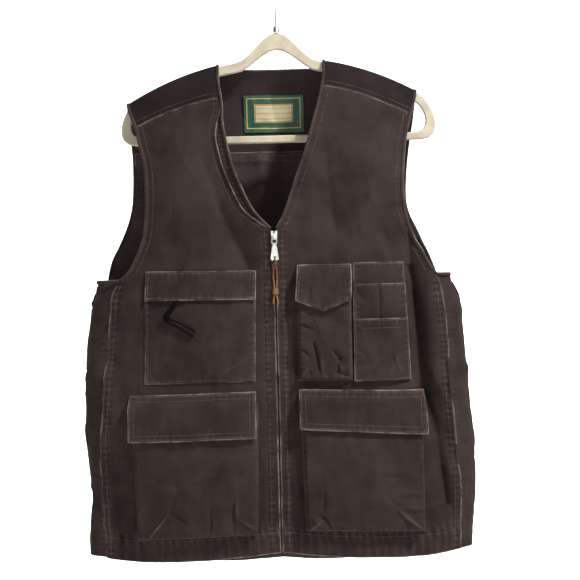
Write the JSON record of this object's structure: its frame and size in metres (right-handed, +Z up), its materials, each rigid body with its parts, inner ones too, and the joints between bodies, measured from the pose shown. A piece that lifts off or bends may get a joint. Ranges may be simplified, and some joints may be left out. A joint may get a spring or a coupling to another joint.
{
  "type": "utility work vest on a coat hanger",
  "caption": "Zip-front canvas utility vest with a yoke, V neck, chest, tool and bellows cargo pockets, hanging on a plain flocked coat hanger.",
  "frame": {"origin": "inside of the hook's crown, where a rail carries the hanger", "axes": "+Z up, the vest's front faces -Y, +X to the viewer's right"},
  "size_m": [0.541, 0.126, 0.8293],
  "materials": {
    "canvas": "washed dark brown cotton canvas",
    "canvas_yoke": "washed dark brown cotton canvas, a little darker",
    "canvas_edge": "turned canvas edge, worn lighter",
    "zip_tape": "woven tape",
    "aged_brass": "dull, dark",
    "nickel": "nickel plate, satin",
    "leather": "oiled lace, red-brown to tan",
    "black_cord": "braided",
    "label": "woven satin",
    "flocking": "flocked, matt"
  },
  "bodies": {
    "root": {"front_panel_right": "canvas", "front_panel_left": "canvas", "side_panel_right": "canvas", "side_panel_left": "canvas", "back_panel": "canvas", "yoke": "canvas_yoke", "armhole_binding_right": "canvas_edge", "armhole_binding_left": "canvas_edge", "neck_binding": "canvas_edge", "neck_facing_right": "canvas", "neck_facing_left": "canvas", "zip_tape_right": "zip_tape", "zip_tape_left": "zip_tape", "zip_chain": "aged_brass", "chest_zip_pocket": "canvas", "chest_pocket_band": "canvas", "chest_flap_pocket": "canvas", "chest_pocket_flap": "canvas", "tool_pocket_back": "canvas", "tool_pocket_middle": "canvas", "tool_pocket_front": "canvas", "cargo_pocket_right": "canvas", "cargo_pocket_left": "canvas", "cargo_flap_right": "canvas", "cargo_flap_left": "canvas", "neck_label": "label", "zip_slider": "nickel", "zip_pull_link": "nickel", "zip_pull_tab": "nickel", "zip_lace_knot": "leather", "zip_lace_wrap": "leather", "zip_lace_strand_right": "leather", "zip_lace_strand_left": "leather", "pull_cord_top_1": "black_cord", "pull_cord_top_2": "black_cord", "pull_cord_tail_1": "black_cord", "pull_cord_tail_2": "black_cord", "pull_cord_knot": "black_cord", "hanger_frame": "flocking", "hanger_collar": "nickel", "hanger_hook": "nickel"}
  },
  "joints": []
}
